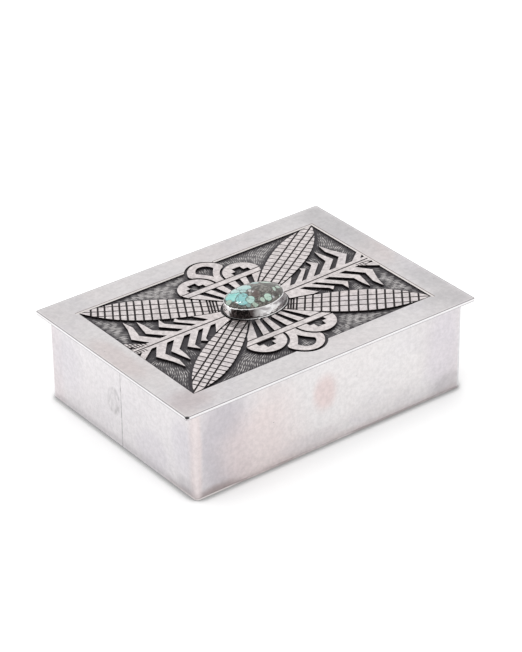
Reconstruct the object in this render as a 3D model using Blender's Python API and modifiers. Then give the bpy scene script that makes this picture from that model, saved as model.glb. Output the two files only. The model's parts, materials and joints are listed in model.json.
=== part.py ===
# A hinged silver box with a pierced overlay lid and an oval stone in a bezel.
# Metres, +Z up. The origin is on the table under the middle of the box, +X runs
# along the box, and the hinge is on the +Y side.
import bmesh
import bpy
from math import cos, pi, radians, sin, sqrt
from mathutils import Vector

# Lid and body sizes
lid_length = 0.140
lid_width = 0.0994
box_height = 0.0397
end_overhang = 0.0048
side_overhang = 0.00185
lid_corner_radius = 0.0006
ground_sheet = 0.0006
overlay_sheet = 0.0007
wall_sheet = 0.0012
bottom_sheet = 0.0008
wall_inner_radius = 0.0003
seam_width = 0.00006
solder_gap = 0.00005
lid_rest_gap = 0.00005
cut_overrun = 0.001

# Hinge sizes, for a tube hinge let into the top of the back wall
hinge_end_inset = 0.0098
knuckle_radius = 0.0009
pin_radius = 0.00045
pin_end_bevel = 0.0001
pin_clearance = 0.0001
hinge_gap = 0.00008
knuckle_end_gap = 0.0002
axis_stand_off = 0.00015
body_knuckle_names = ("body_knuckle_left", "body_knuckle_middle", "body_knuckle_right")
lid_knuckle_names = ("lid_knuckle_left", "lid_knuckle_right")

# Overlay sizes: the frame, the gap sawn round each motif, and the seat of the stone
frame_margin = 0.0120
saw_gap = 0.0006
frame_gap = 0.0001
lobe_gap = 0.0013

# Maize ears, one in each corner: signs of X and Y, the place of its root as shares of
# the panel's half length and half width, and its share of a quarter of the panel
ear_shares = (
    ("ear_back_left", -1, 1, 0.125, 0.126, 0.2113),
    ("ear_back_right", 1, 1, 0.119, 0.140, 0.2003),
    ("ear_front_right", 1, -1, 0.116, 0.147, 0.2236),
    ("ear_front_left", -1, -1, 0.141, 0.089, 0.1921),
)
ear_widest_share = 0.45
ear_inner_run_share = 0.647
ear_tip_inset = 0.0005
ear_tip_power = 2.2
ear_inner_power = 2.0

# Maize plants, left and right: sign of X, height of the stalk's axis, root shifts
plant_table = (
    ("plant_left", -1, 0.00035, 0.00045, 0.0002),
    ("plant_right", 1, 0.0012, -0.00115, 0.0004),
)
stalk_half_width = 0.0021
# Leaves, as shares of the run from the stone's seat to the frame and of the panel's
# half width: the two root points, then from the outer elbow over the tip to the inner
leaf_shares = (
    (0.786, 0.671, ((0.894, 0.215), (0.822, 0.398), (0.787, 0.546), (0.764, 0.403), (0.803, 0.223))),
    (0.595, 0.485, ((0.734, 0.220), (0.709, 0.350), (0.683, 0.467), (0.663, 0.365), (0.656, 0.236))),
    (0.414, 0.326, ((0.576, 0.247), (0.505, 0.363), (0.505, 0.263))),
    (0.274, 0.192, ((0.421, 0.239), (0.377, 0.286), (0.367, 0.236))),
    (0.137, -0.074, ((0.248, 0.228), (0.006, 0.228))),
)
# Prop roots that run from the stalk to the frame, as shares like the leaves
prop_outer_share = 0.843
prop_inner_share = 0.943
prop_top_share = 0.191
prop_foot_share = 0.109

# Rain clouds, back and front: sign of Y, middle, and as shares of the panel's half
# length the domes' middles and half widths, with the domes' height as a share of the rise
cloud_shares = (
    ("cloud_back", 1, 0.0004, 0.1914, 0.1414, 0.4795),
    ("cloud_front", -1, -0.0018, 0.2103, 0.1500, 0.5088),
)
bar_width = 0.0030
cloud_gap = 0.0010
# Levels as shares of the panel's half width, from the middle outward
ray_start_share = 0.212
ray_focus_share = 0.1485
bar_outer_share = 0.626
lobe_top_share = 1.0796
# Widths as shares of the panel's half length
ray_edge_shares = ((0.0259, 0.0810), (0.1241, 0.1776), (0.2293, 0.3103))
lobe_half_width_share = 0.1422
lobe_hole_half_width_share = 0.0724
step_low_half_width_share = 0.0707
step_high_half_width_share = 0.0345
# Heights as shares of the rise from the bar to the top of the lobe
lobe_shoulder_share = 0.573
lobe_hole_foot_share = 0.2456
lobe_hole_shoulder_share = 0.602
lobe_hole_top_share = 0.8246
step_low_share = 0.1287
step_high_share = 0.2807
lobe_power = 1.5
lobe_foot_power = 1.35

# Stone and bezel sizes, in the order from the base plate upward
stone_middle_x = -0.0003
stone_middle_y = 0.0002
bezel_half_length = 0.0133
bezel_half_width = 0.0094
bezel_flare = 0.0003
bezel_sheet = 0.00045
bezel_curl = 0.0004
bezel_curl_height = 0.0005
bezel_rise = 0.0041
base_ledge = 0.0006
base_rise = 0.0002
stone_rise = 0.0025
stone_gap = 0.00005

# Facets
corner_steps = 6
ear_steps = 22
arc_steps = 20
knuckle_steps = 20
oval_steps = 56
dome_steps = 7

# Places worked out from the sizes
body_half_length = lid_length / 2 - end_overhang
body_half_width = lid_width / 2 - side_overhang
wall_corner_radius = wall_inner_radius + wall_sheet
overlay_foot = box_height - overlay_sheet
ground_top = overlay_foot - solder_gap
lid_underside = ground_top - ground_sheet
wall_top = lid_underside - lid_rest_gap
wall_foot = bottom_sheet + solder_gap
panel_half_length = lid_length / 2 - frame_margin
panel_half_width = lid_width / 2 - frame_margin
bar_outer = bar_outer_share * panel_half_width
bar_inner = bar_outer - bar_width
lobe_half_width = lobe_half_width_share * panel_half_length
lobe_top = lobe_top_share * panel_half_width
cloud_rise = lobe_top - bar_outer
lobe_shoulder = bar_outer + lobe_shoulder_share * cloud_rise
hinge_length = 2 * (body_half_length - hinge_end_inset)
hinge_y = body_half_width + axis_stand_off
hinge_z = lid_underside - hinge_gap - knuckle_radius
base_half_length = bezel_half_length + bezel_flare + base_ledge
base_half_width = bezel_half_width + bezel_flare + base_ledge
seat_half_length = base_half_length + saw_gap
seat_half_width = base_half_width + saw_gap
plant_run = panel_half_length - seat_half_length
base_foot = ground_top + solder_gap
base_top = box_height + base_rise
bezel_foot = base_top + solder_gap
bezel_top = box_height + bezel_rise

for old in list(bpy.data.objects):
    bpy.data.objects.remove(old, do_unlink=True)

parts = bpy.data.collections.new("silver_box")
cutters = bpy.data.collections.new("cutters")
bpy.context.scene.collection.children.link(parts)
bpy.context.scene.collection.children.link(cutters)


def material(name, color, roughness, metallic):
    made = bpy.data.materials.new(name)
    made.use_nodes = True
    shader = made.node_tree.nodes["Principled BSDF"]
    shader.inputs["Base Color"].default_value = (*color, 1)
    shader.inputs["Roughness"].default_value = roughness
    shader.inputs["Metallic"].default_value = metallic
    return made


def satin_silver(name):
    return material(name, (0.80, 0.78, 0.78), 0.38, 1)


def place(obj, finish, collection=parts):
    obj.data.materials.clear()
    obj.data.materials.append(finish)
    for home in list(obj.users_collection):
        home.objects.unlink(obj)
    collection.objects.link(obj)
    return obj


def make_cutter(obj):
    obj.hide_render = True
    obj.display_type = "WIRE"
    return obj


# The comb outlines have many walls in one plane, which only the second solver cuts
def cut(obj, cutter, solver="EXACT"):
    change = obj.modifiers.new("cut_" + cutter.name, "BOOLEAN")
    change.operation = "DIFFERENCE"
    change.solver = solver
    change.object = cutter


# A flat piece is a filled 2D curve between two heights, made into a welded mesh
def flat_piece(name, outlines, foot, top, finish, collection=parts):
    curve = bpy.data.curves.new(name + "_outline", "CURVE")
    curve.dimensions = "2D"
    curve.fill_mode = "BOTH"
    curve.extrude = (top - foot) / 2
    for points in outlines:
        line = curve.splines.new("POLY")
        line.points.add(len(points) - 1)
        for point, (x, y) in zip(line.points, points):
            point.co = (x, y, 0, 1)
        line.use_cyclic_u = True
    drawn = bpy.data.objects.new(name + "_outline", curve)
    drawn.location.z = (foot + top) / 2
    parts.objects.link(drawn)
    bpy.context.view_layer.update()
    graph = bpy.context.evaluated_depsgraph_get()
    mesh = bpy.data.meshes.new_from_object(drawn.evaluated_get(graph))
    mesh.name = name
    work = bmesh.new()
    work.from_mesh(mesh)
    bmesh.ops.remove_doubles(work, verts=work.verts, dist=seam_width / 10)
    bmesh.ops.recalc_face_normals(work, faces=work.faces)
    work.to_mesh(mesh)
    work.free()
    made = bpy.data.objects.new(name, mesh)
    made.matrix_world = drawn.matrix_world
    bpy.data.objects.remove(drawn, do_unlink=True)
    return place(made, finish, collection)


def rounded_rectangle(half_x, half_y, radius):
    points = []
    for turn, (sx, sy) in enumerate(((1, 1), (-1, 1), (-1, -1), (1, -1))):
        for step in range(corner_steps + 1):
            angle = pi / 2 * (turn + step / corner_steps)
            points.append(
                (
                    sx * (half_x - radius) + radius * cos(angle),
                    sy * (half_y - radius) + radius * sin(angle),
                )
            )
    return points


def stone_oval(half_x, half_y):
    turn = [2 * pi * step / oval_steps for step in range(oval_steps)]
    return [(stone_middle_x + half_x * cos(t), stone_middle_y + half_y * sin(t)) for t in turn]


# The body: a strip bent round four corners, butted in the middle of the left end
def wall_outline():
    outer = rounded_rectangle(body_half_length, body_half_width, wall_corner_radius)
    inner = rounded_rectangle(
        body_half_length - wall_sheet,
        body_half_width - wall_sheet,
        wall_inner_radius,
    )
    # Both rings are split after their second corner, where the left end begins
    split = 2 * (corner_steps + 1)
    outer_side = outer[split:] + outer[:split]
    inner_side = inner[split:] + inner[:split]
    half_seam = seam_width / 2
    outer_x = -body_half_length
    inner_x = -body_half_length + wall_sheet
    start = [(inner_x, -half_seam), (outer_x, -half_seam)]
    finish = [(outer_x, half_seam), (inner_x, half_seam)]
    return start + outer_side + finish + inner_side[::-1]


def make_body():
    silver = satin_silver("wall_silver")
    wall = flat_piece("wall_band", [wall_outline()], wall_foot, wall_top, silver)
    rebate_depth = knuckle_radius + hinge_gap - axis_stand_off
    rebate_height = wall_top + cut_overrun - (hinge_z - knuckle_radius - hinge_gap)
    rebate_reach = rebate_depth + cut_overrun
    rebate = box_cutter(
        "hinge_rebate",
        (hinge_length + 2 * knuckle_end_gap, rebate_reach, rebate_height),
        (
            0,
            body_half_width - rebate_depth + rebate_reach / 2,
            wall_top + cut_overrun - rebate_height / 2,
        ),
    )
    cut(wall, rebate)
    floor = rounded_rectangle(body_half_length, body_half_width, wall_corner_radius)
    flat_piece("bottom_plate", [floor], 0, bottom_sheet, satin_silver("bottom_silver"))


def box_cutter(name, size, middle):
    bpy.ops.mesh.primitive_cube_add(size=1, location=middle)
    made = bpy.context.object
    made.name = name
    made.scale = size
    return make_cutter(place(made, satin_silver("cutter"), cutters))


# The hinge: five short tubes in a row on one pin, along X behind the back wall
def tube(name, middle_x, length, outer, inner, finish):
    half = length / 2
    corners = [(outer, half), (outer, -half), (inner, -half), (inner, half)]
    mesh = bpy.data.meshes.new(name)
    points = [(radius, 0, height) for radius, height in corners]
    mesh.from_pydata(points, [(0, 1), (1, 2), (2, 3), (3, 0)], [])
    made = bpy.data.objects.new(name, mesh)
    turned = made.modifiers.new("turn", "SCREW")
    turned.steps = knuckle_steps
    turned.render_steps = knuckle_steps
    turned.use_merge_vertices = True
    turned.merge_threshold = seam_width / 10
    made.location = (middle_x, hinge_y, hinge_z)
    made.rotation_euler = (0, pi / 2, 0)
    return place(made, finish)


def make_hinge():
    silver = satin_silver("hinge_silver")
    count = len(body_knuckle_names) + len(lid_knuckle_names)
    knuckle_length = (hinge_length - (count - 1) * knuckle_end_gap) / count
    pitch = knuckle_length + knuckle_end_gap
    for number in range(count):
        names = lid_knuckle_names if number % 2 else body_knuckle_names
        middle_x = (number - (count - 1) / 2) * pitch
        bore = pin_radius + pin_clearance
        tube(names[number // 2], middle_x, knuckle_length, knuckle_radius, bore, silver)
    bpy.ops.mesh.primitive_cylinder_add(
        vertices=knuckle_steps,
        radius=pin_radius,
        depth=hinge_length,
        location=(0, hinge_y, hinge_z),
        rotation=(0, pi / 2, 0),
    )
    pin = bpy.context.object
    pin.name = "hinge_pin"
    ends = pin.modifiers.new("ends", "BEVEL")
    ends.width = pin_end_bevel
    ends.segments = 1
    place(pin, material("pin_silver", (0.74, 0.73, 0.73), 0.3, 1))


# A maize ear is a leaf shape from a tip in the panel's corner to a root by the stone.
# Its half width rises from the tip as one minus a power of the way still to go, and
# falls inward as one minus a square. Each ear keeps its share of the panel's area
def ear_outline(sign_x, sign_y, root_x_share, root_y_share, area_share, extra):
    corner = Vector((sign_x * panel_half_length, sign_y * panel_half_width))
    root = Vector((corner.x * root_x_share, corner.y * root_y_share))
    along = (root - corner).normalized()
    tip = corner + along * ear_tip_inset
    length = (root - tip).length
    half_width = area_share * panel_half_length * panel_half_width / length
    widest = ear_widest_share * length
    inner_run = ear_inner_run_share * length
    across = Vector((-along.y, along.x))
    sides = ([], [])
    for step in range(ear_steps + 1):
        run = length * (1 - cos(pi / 2 * step / ear_steps))
        if run < widest:
            reach = half_width * (1 - ((widest - run) / widest) ** ear_tip_power)
        else:
            reach = half_width * (1 - ((run - widest) / inner_run) ** ear_inner_power)
        for side, sign in zip(sides, (1, -1)):
            point = tip + along * run + across * sign * (reach + extra)
            side.append(tuple(point))
    outline = sides[0] + sides[1][::-1]
    return outline[:-1] if extra == 0 else outline


def make_ears(seat):
    silver = satin_silver("ear_silver")
    kerfs = []
    for name, *shape_shares in ear_shares:
        shape = ear_outline(*shape_shares, 0)
        ear = flat_piece(name, [shape], overlay_foot, box_height, silver)
        cut(ear, seat)
        shape = ear_outline(*shape_shares, saw_gap)
        kerfs.append(overlay_cutter(name + "_kerf", shape))
    return kerfs


def overlay_cutter(name, outline):
    foot = overlay_foot - cut_overrun
    top = box_height + cut_overrun
    made = flat_piece(name, [outline], foot, top, satin_silver("cutter"), cutters)
    return make_cutter(made)


# A plant is a stalk with five bent leaves and a prop root on each side. Its outline
# goes out along one side and back along the other
def plant_side(sign_y, root_shift):
    stalk = stalk_half_width
    points = []
    for outer_root, inner_root, rest in reversed(leaf_shares):
        shares = ((inner_root, 0), *reversed(rest), (outer_root, 0))
        for x_share, y_share in shares:
            shift = root_shift if y_share == 0 else 0
            height = max(stalk, y_share * panel_half_width)
            points.append((seat_half_length + x_share * plant_run + shift, sign_y * height))
    reach = panel_half_length - frame_gap
    points.append((seat_half_length + prop_outer_share * plant_run, sign_y * stalk))
    points.append((reach, sign_y * prop_top_share * panel_half_width))
    points.append((reach, sign_y * prop_foot_share * panel_half_width))
    points.append((seat_half_length + prop_inner_share * plant_run, sign_y * stalk))
    points.append((reach, sign_y * stalk))
    return points


def make_plants(seat, kerfs):
    silver = satin_silver("plant_silver")
    for name, sign_x, stalk_y, back_shift, front_shift in plant_table:
        side = plant_side(1, back_shift) + plant_side(-1, front_shift)[::-1]
        shape = [(sign_x * x, stalk_y + y) for x, y in side]
        plant = flat_piece(name, [shape], overlay_foot, box_height, silver)
        for cutter in (seat, *kerfs):
            cut(plant, cutter, "MANIFOLD")


# The upper edge of a cloud's middle lobe: the half width falls with the square root
# of one minus a power of the height above the shoulder
def lobe_arch(half_width, shoulder, top):
    points = []
    for step in range(arc_steps + 1):
        angle = pi * step / arc_steps
        height = abs(sin(angle)) ** (2 / lobe_power)
        width = half_width * sqrt(max(0, 1 - height**lobe_power))
        points.append((width if angle < pi / 2 else -width, shoulder + height * (top - shoulder)))
    return points


def lobe_hole():
    half_width = lobe_hole_half_width_share * panel_half_length
    shoulder = bar_outer + lobe_hole_shoulder_share * cloud_rise
    foot = bar_outer + lobe_hole_foot_share * cloud_rise
    points = lobe_arch(half_width, shoulder, bar_outer + lobe_hole_top_share * cloud_rise)
    left = []
    for step in range(1, corner_steps):
        share = step / corner_steps
        width = half_width * (1 - share) ** lobe_foot_power
        left.append((-width, shoulder + (foot - shoulder) * share))
    right = [(-x, y) for x, y in reversed(left)]
    return points + left + [(0, foot)] + right


def stepped_hole(middle):
    foot = bar_outer
    low = foot + step_low_share * cloud_rise
    high = foot + step_high_share * cloud_rise
    wide = step_low_half_width_share * panel_half_length
    slim = step_high_half_width_share * panel_half_length
    right = [(wide, foot), (wide, low), (slim, low), (slim, high)]
    left = [(-x, y) for x, y in reversed(right)]
    return [(middle + x, y) for x, y in right + left]


# The right half of a cloud, from the middle gap between the rays out to the bar's
# end, over the dome, and up the side of the stem to the lobe's shoulder
def cloud_half(dome_middle, dome_half_width, dome_rise):
    points = []
    ray_start = ray_start_share * panel_half_width
    ray_focus = ray_focus_share * panel_half_width
    shrink = (ray_start + ray_focus) / (bar_inner + ray_focus)
    for inner_share, outer_share in ray_edge_shares:
        inner = inner_share * panel_half_length
        outer = outer_share * panel_half_length
        points.append((inner, bar_inner))
        points.append((inner * shrink, ray_start))
        points.append((outer * shrink, ray_start))
        points.append((outer, bar_inner))
    for step in range(arc_steps + 1):
        angle = pi * step / arc_steps
        x = dome_middle + dome_half_width * cos(angle)
        points.append((x, bar_outer + dome_rise * sin(angle)))
    for step in range(arc_steps):
        angle = pi - pi / 2 * step / arc_steps
        x = dome_middle + (dome_half_width + cloud_gap) * cos(angle)
        y = bar_outer + (dome_rise + cloud_gap) * sin(angle)
        if x < lobe_half_width and y < lobe_shoulder:
            points.append((x, y))
    return points


def make_clouds(seat, kerfs):
    silver = satin_silver("cloud_silver")
    for name, sign_y, middle, middle_share, half_width_share, rise_share in cloud_shares:
        dome_middle = middle_share * panel_half_length
        dome_half_width = half_width_share * panel_half_length
        half = cloud_half(dome_middle, dome_half_width, rise_share * cloud_rise)
        arch = lobe_arch(lobe_half_width, lobe_shoulder, lobe_top)
        outer = half + arch + [(-x, y) for x, y in reversed(half)]
        holes = [lobe_hole(), stepped_hole(dome_middle), stepped_hole(-dome_middle)]
        shapes = [[(middle + x, sign_y * y) for x, y in line] for line in [outer, *holes]]
        cloud = flat_piece(name, shapes, overlay_foot, box_height, silver)
        for cutter in (seat, *kerfs):
            cut(cloud, cutter, "MANIFOLD")


# The frame is the lid's rim in the overlay sheet. The lobes of both clouds break
# into it, so a gap of the lobes' own shape is sawn there
def make_frame():
    rim = rounded_rectangle(lid_length / 2, lid_width / 2, lid_corner_radius)
    window = [
        (sx * panel_half_length, sy * panel_half_width)
        for sx, sy in ((1, 1), (-1, 1), (-1, -1), (1, -1))
    ]
    silver = satin_silver("frame_silver")
    frame = flat_piece("lid_frame", [rim, window], overlay_foot, box_height, silver)
    for name, sign_y, middle, *_ in cloud_shares:
        arch = lobe_arch(lobe_half_width + lobe_gap, lobe_shoulder, lobe_top + lobe_gap)
        notch = overlay_cutter(name + "_notch", [(middle + x, sign_y * y) for x, y in arch])
        cut(frame, notch)


# A solid through a row of ovals: each ring is half length, half width and height.
# A hollow one closes its last ring on its first, and a full one is capped
def oval_solid(name, rings, hollow, finish):
    mesh = bpy.data.meshes.new(name)
    work = bmesh.new()
    loops = []
    for half_x, half_y, height in rings:
        loop = [work.verts.new((x, y, height)) for x, y in stone_oval(half_x, half_y)]
        loops.append(loop)
    pairs = list(zip(loops, loops[1:]))
    if hollow:
        pairs.append((loops[-1], loops[0]))
    else:
        work.faces.new(loops[0][::-1])
        work.faces.new(loops[-1])
    for low, high in pairs:
        for this in range(oval_steps):
            after = (this + 1) % oval_steps
            work.faces.new((low[this], low[after], high[after], high[this]))
    bmesh.ops.recalc_face_normals(work, faces=work.faces)
    work.to_mesh(mesh)
    work.free()
    made = bpy.data.objects.new(name, mesh)
    mesh.shade_smooth()
    mesh.set_sharp_from_angle(angle=radians(30))
    return place(made, finish)


def make_stone():
    base = stone_oval(base_half_length, base_half_width)
    flat_piece("bezel_base", [base], base_foot, base_top, satin_silver("bezel_base_silver"))
    side = [
        (bezel_flare, bezel_foot),
        (0, bezel_top - bezel_curl_height),
        (-bezel_curl, bezel_top),
    ]
    outer = [(bezel_half_length + grow, bezel_half_width + grow, z) for grow, z in side]
    inner = [(x - bezel_sheet, y - bezel_sheet, z) for x, y, z in outer]
    polished = material("bezel_silver", (0.86, 0.85, 0.85), 0.12, 1)
    oval_solid("bezel_wall", outer + inner[::-1], True, polished)
    foot = base_top + stone_gap
    rings = [(x - stone_gap, y - stone_gap, z) for x, y, z in inner]
    rings[0] = (rings[0][0], rings[0][1], foot)
    girdle_x, girdle_y, girdle_z = rings[-1]
    turn = pi / 2 / (dome_steps + 1 / 2)
    for step in range(1, dome_steps + 1):
        shrink = cos(turn * step)
        height = stone_rise * sin(turn * step) / sin(turn * dome_steps)
        rings.append((girdle_x * shrink, girdle_y * shrink, girdle_z + height))
    turquoise = material("turquoise", (0.20, 0.50, 0.45), 0.15, 0)
    oval_solid("turquoise_stone", rings, False, turquoise)


def make_lid():
    plate = rounded_rectangle(lid_length / 2, lid_width / 2, lid_corner_radius)
    oxide = material("oxidised_silver", (0.06, 0.06, 0.065), 0.55, 1)
    flat_piece("lid_ground_plate", [plate], lid_underside, ground_top, oxide)
    make_frame()
    seat_shape = stone_oval(seat_half_length, seat_half_width)
    seat = overlay_cutter("stone_seat", seat_shape)
    kerfs = make_ears(seat)
    make_plants(seat, kerfs)
    make_clouds(seat, kerfs)
    make_stone()


make_body()
make_hinge()
make_lid()
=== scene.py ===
import json
import math
from contextlib import contextmanager
import bmesh
import bpy
import numpy as np
from mathutils import Matrix, Vector

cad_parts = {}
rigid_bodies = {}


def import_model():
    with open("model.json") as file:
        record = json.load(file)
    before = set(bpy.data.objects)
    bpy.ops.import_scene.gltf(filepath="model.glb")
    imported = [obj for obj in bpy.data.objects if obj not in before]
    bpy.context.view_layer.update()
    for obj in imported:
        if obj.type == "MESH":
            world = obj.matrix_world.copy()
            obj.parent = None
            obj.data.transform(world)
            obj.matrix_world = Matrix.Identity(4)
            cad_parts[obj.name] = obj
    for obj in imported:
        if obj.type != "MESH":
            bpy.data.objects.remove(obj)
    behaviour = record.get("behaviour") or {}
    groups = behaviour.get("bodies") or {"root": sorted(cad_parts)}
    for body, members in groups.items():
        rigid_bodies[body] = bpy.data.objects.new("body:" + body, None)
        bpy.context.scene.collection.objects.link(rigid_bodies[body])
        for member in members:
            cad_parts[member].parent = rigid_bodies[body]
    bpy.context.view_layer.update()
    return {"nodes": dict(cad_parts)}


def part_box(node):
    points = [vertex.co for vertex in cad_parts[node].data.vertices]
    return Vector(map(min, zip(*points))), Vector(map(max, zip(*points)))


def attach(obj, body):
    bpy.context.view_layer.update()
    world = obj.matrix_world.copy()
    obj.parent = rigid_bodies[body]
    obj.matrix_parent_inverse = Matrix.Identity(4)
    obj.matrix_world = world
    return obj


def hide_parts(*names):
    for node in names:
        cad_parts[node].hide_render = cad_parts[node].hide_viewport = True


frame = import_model()
nodes = frame["nodes"]

mm = 0.001
frameWidth = 12 * mm
overlayFoot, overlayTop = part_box("lid_frame")[0].z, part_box("lid_frame")[1].z
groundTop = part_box("lid_ground_plate")[1].z
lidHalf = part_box("lid_frame")[1]
panel = {"halfLength": lidHalf.x - frameWidth, "halfWidth": lidHalf.y - frameWidth}
random = np.random.default_rng(7)


# Mesh helpers

def addObject(name, data):
    made = bpy.data.objects.new(name, data)
    bpy.context.scene.collection.objects.link(made)
    return made


# A bmesh for the lines under with, written to the mesh after them
@contextmanager
def editing(mesh):
    work = bmesh.new()
    work.from_mesh(mesh)
    yield work
    work.to_mesh(mesh)
    work.free()


def addPiece(name, body, points, faces, material, smooth=35, replaces=()):
    mesh = bpy.data.meshes.new(name)
    mesh.from_pydata(points.reshape(-1, 3), [], faces)
    return finishPiece(name, mesh, body, material, smooth, replaces)


def finishPiece(name, mesh, body, material, smooth=35, replaces=()):
    with editing(mesh) as work:
        bmesh.ops.remove_doubles(work, verts=work.verts, dist=0.002 * mm)
        bmesh.ops.dissolve_degenerate(work, edges=work.edges, dist=0.001 * mm)
        bmesh.ops.recalc_face_normals(work, faces=work.faces)
    smoothUpTo(mesh, smooth)
    mesh.materials.append(material)
    piece = addObject(name, mesh)
    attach(piece, body)
    if replaces:
        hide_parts(*replaces)
    return piece


def smoothUpTo(mesh, degrees):
    mesh.shade_smooth()
    mesh.set_sharp_from_angle(angle=math.radians(degrees))


def numbered(n, m):
    return np.arange(n * m).reshape(n, m)


# Quads between neighbouring rows of a grid of n by m numbered points
def gridFaces(n, m, closeRows=False, closeColumns=False):
    number = numbered(n, m)
    if closeRows:
        number = np.vstack([number, number[:1]])
    if closeColumns:
        number = np.hstack([number, number[:, :1]])
    a, b = number[:-1, :-1], number[:-1, 1:]
    c, d = number[1:, 1:], number[1:, :-1]
    return np.stack([a, b, c, d], -1).reshape(-1, 4).tolist()


# Faces of a closed disc or slab whose grid's columns are rings, with the first and the
# last ring filled by one face each
def ringFaces(grid):
    n, m = grid.shape[:2]
    number = numbered(n, m)
    return gridFaces(n, m, closeRows=True) + [number[:, 0].tolist(), number[::-1, -1].tolist()]


# A closed slab: the grid is its top, its rim drops straight to the foot, and one flat
# face closes it below
def slab(grid, foot):
    n, m = grid.shape[:2]
    number = numbered(n, m)
    loop = np.concatenate([number[0], number[1:, -1], number[-1, -2::-1], number[-2:0:-1, 0]])
    points = grid.reshape(-1, 3)
    low = points[loop].copy()
    low[:, 2] = foot
    step = np.linalg.norm(low - np.roll(low, 1, 0), axis=1)
    base = n * m + np.arange(len(loop))
    walls = np.stack([loop, base, np.roll(base, -1), np.roll(loop, -1)], -1)
    faces = [*gridFaces(n, m), *walls.tolist(), base[step > 0.004 * mm].tolist()]
    return np.vstack([points, low]), faces


# A profile of offsets and heights carried along a plan path: each point is the path's
# point moved along its outward normal by the offset, at the profile's height
def sweep(path, normal, offset, height):
    plan = path[:, None, :] + normal[:, None, :] * offset[..., None]
    tall = np.broadcast_to(height, offset.shape)
    return np.concatenate([plan, tall[..., None]], -1)


# Rounded rectangle: straight sides at a steady pitch and corners as quarter circles
def roundedPath(halfX, halfY, radius, pitch, cornerSteps):
    points, normals = [], []
    centreX, centreY = halfX - radius, halfY - radius
    corners = ((-1, -1, math.pi), (1, -1, 1.5 * math.pi), (1, 1, 0), (-1, 1, 0.5 * math.pi))
    for sx, sy, start in corners:
        angle = start + np.linspace(0, math.pi / 2, cornerSteps + 1)
        ring = np.stack([np.cos(angle), np.sin(angle)], -1)
        points.append(np.array([sx * centreX, sy * centreY]) + radius * ring)
        normals.append(ring)
    path, outward = [], []
    for k in range(4):
        path.append(points[k])
        outward.append(normals[k])
        end, start = points[k][-1], points[(k + 1) % 4][0]
        count = max(2, int(np.linalg.norm(start - end) / pitch))
        share = np.linspace(0, 1, count + 1)[1:-1, None]
        path.append(end + (start - end) * share)
        outward.append(np.repeat(normals[k][-1:], count - 1, 0))
    return np.vstack(path), np.vstack(outward)


# A welded copy of a frame node, with its flat faces joined and its top rim rounded
def nodeCopy(node, rim):
    mesh = nodes[node].data.copy()
    with editing(mesh) as work:
        bmesh.ops.remove_doubles(work, verts=work.verts, dist=0.004 * mm)
        bmesh.ops.dissolve_limit(
            work, angle_limit=math.radians(1), verts=work.verts, edges=work.edges
        )
        top = max(v.co.z for v in work.verts)
        edges = [
            e
            for e in work.edges
            if len(e.link_faces) == 2
            and min(v.co.z for v in e.verts) > top - 0.01 * mm
            and min(f.normal.z for f in e.link_faces) < 0.5
        ]
        bmesh.ops.bevel(
            work, geom=edges, offset=rim, segments=2, profile=0.6, affect="EDGES", clamp_overlap=True
        )
    mesh.materials.clear()
    return mesh


# A graver's cut: a V with a narrow floor, carried along a plan line and tapered at the
# ends that stay on the sheet
def graverCut(start, end, width, depth, taper=(0, 0), wander=0.0):
    start, end = np.array(start, float), np.array(end, float)
    span = np.linalg.norm(end - start)
    along = (end - start) / span
    across = np.array([-along[1], along[0]])
    count = max(4, int(span / (1.5 * mm)))
    share = np.linspace(0, 1, count + 1)
    size = np.ones(count + 1)
    if taper[0]:
        size = np.minimum(size, 0.25 + share * span / taper[0])
    if taper[1]:
        size = np.minimum(size, 0.25 + (1 - share) * span / taper[1])
    sway = wander * np.sin(share * span / (7 * mm) + start[0] * 900 + start[1] * 700)
    middle = start + along * (share * span)[:, None] + across * sway[:, None]
    over = 0.1 * mm
    widen = 1 + over / depth
    half = np.stack([-size * widen, -size * 0.2, size * 0.2, size * widen], -1) * width / 2
    drop = np.stack([0 * size + over, -size * depth, -size * depth, 0 * size + over], -1)
    plan = middle[:, None, :] + across * half[..., None]
    grid = np.concatenate([plan, (overlayTop + drop)[..., None]], -1)
    n, last = len(grid), 4 * len(grid) - 4
    ends = [[3, 2, 1, 0], [last, last + 1, last + 2, last + 3]]
    return grid.reshape(-1, 3), gridFaces(n, 4, closeColumns=True) + ends


# The mesh is cut out of the piece
def subtract(piece, mesh):
    cutter = addObject("cutter", mesh)
    change = piece.modifiers.new("cut", "BOOLEAN")
    change.operation = "DIFFERENCE"
    change.solver = "MANIFOLD"
    change.object = cutter
    bpy.context.view_layer.update()
    graph = bpy.context.evaluated_depsgraph_get()
    cut = bpy.data.meshes.new_from_object(piece.evaluated_get(graph))
    piece.modifiers.clear()
    piece.data = cut
    bpy.data.objects.remove(cutter, do_unlink=True)


# All cuts of a piece go in together as one cutter per crossing direction
def engrave(piece, groups):
    for cuts in groups:
        points, faces = [], []
        for vertices, quads in cuts:
            base = sum(len(p) for p in points)
            points.append(vertices)
            faces += [[v + base for v in face] for face in quads]
        mesh = bpy.data.meshes.new("graverCuts")
        mesh.from_pydata(np.vstack(points), [], faces)
        with editing(mesh) as work:
            bmesh.ops.recalc_face_normals(work, faces=work.faces)
        subtract(piece, mesh)
    smoothUpTo(piece.data, 6)


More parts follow.
